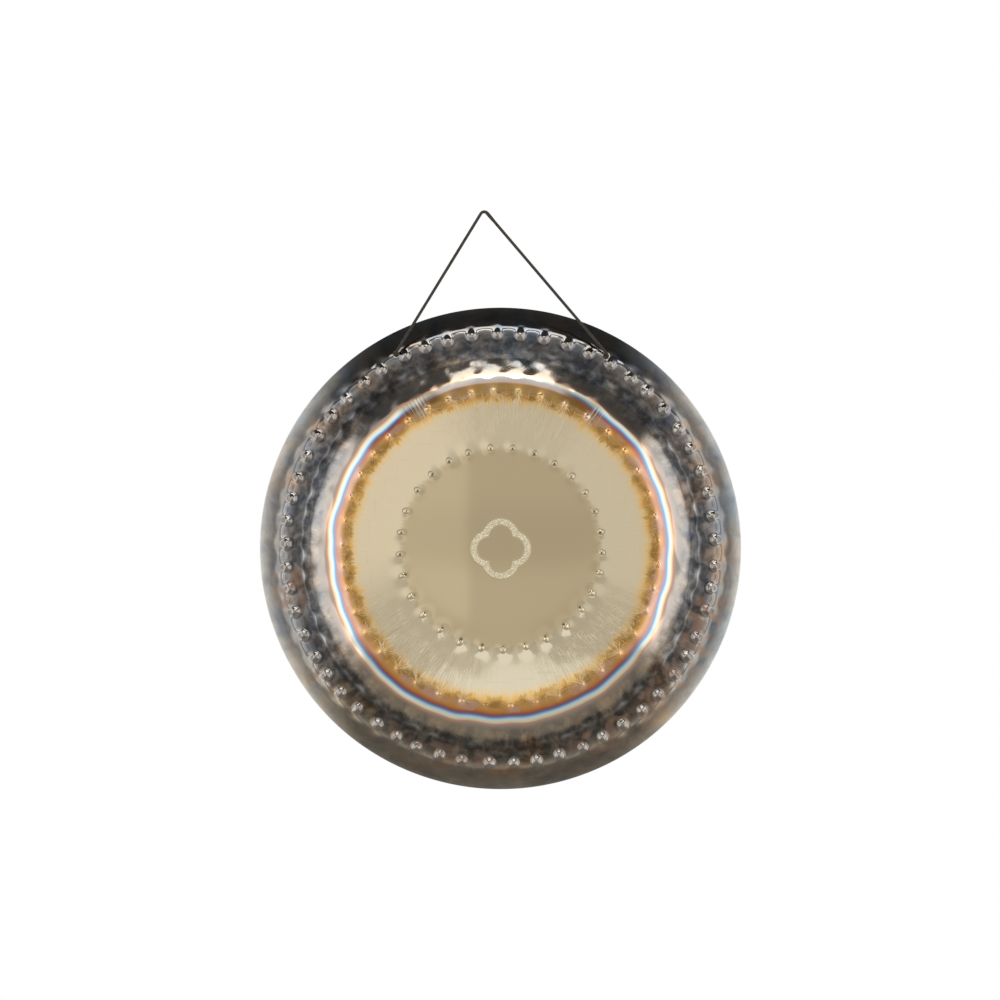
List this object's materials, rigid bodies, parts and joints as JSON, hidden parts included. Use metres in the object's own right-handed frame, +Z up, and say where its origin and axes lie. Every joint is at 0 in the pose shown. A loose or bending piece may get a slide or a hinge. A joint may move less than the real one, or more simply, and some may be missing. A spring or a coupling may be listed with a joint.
{
  "type": "tam tam gong",
  "caption": "Hammered bronze tam tam gong with punched boss rings and a turned-back rim, hung on one braided cord.",
  "frame": {"origin": "the point under the cord's apex where it sits on its hook", "axes": "+Z up, +X to the striker's right, -Y from the plate towards the striker"},
  "size_m": [0.61, 0.0594, 0.732],
  "materials": {
    "bronze": "hammered bronze sheet: polished centre, brushed field, heat-tinted gold band with a blue and white fringe, dark mottled patina outside it",
    "cord": "tightly braided polyester cord, slight sheen"
  },
  "bodies": {
    "hook_end": {"cord_bight": "cord"},
    "cord_legs": {"cord_leg_left": "cord", "cord_leg_right": "cord"},
    "gong": {"gong_plate": "bronze", "cord_lead_left": "cord", "cord_lead_right": "cord", "stopper_knot_left": "cord", "stopper_knot_right": "cord", "cord_tail_left": "cord", "cord_tail_right": "cord"}
  },
  "joints": [
    {"name": "cord_swing", "type": "hinge", "parent": "hook_end", "child": "cord_legs", "pos_m": [0, 0, -0.003], "axis": [1, 0, 0], "range_deg": [-45, 45]},
    {"name": "disc_tilt", "type": "hinge", "parent": "cord_legs", "child": "gong", "pos_m": [-0.1118, 0, -0.17662], "axis": [-1, 0, 0.0044], "range_deg": [-20, 163]}
  ]
}
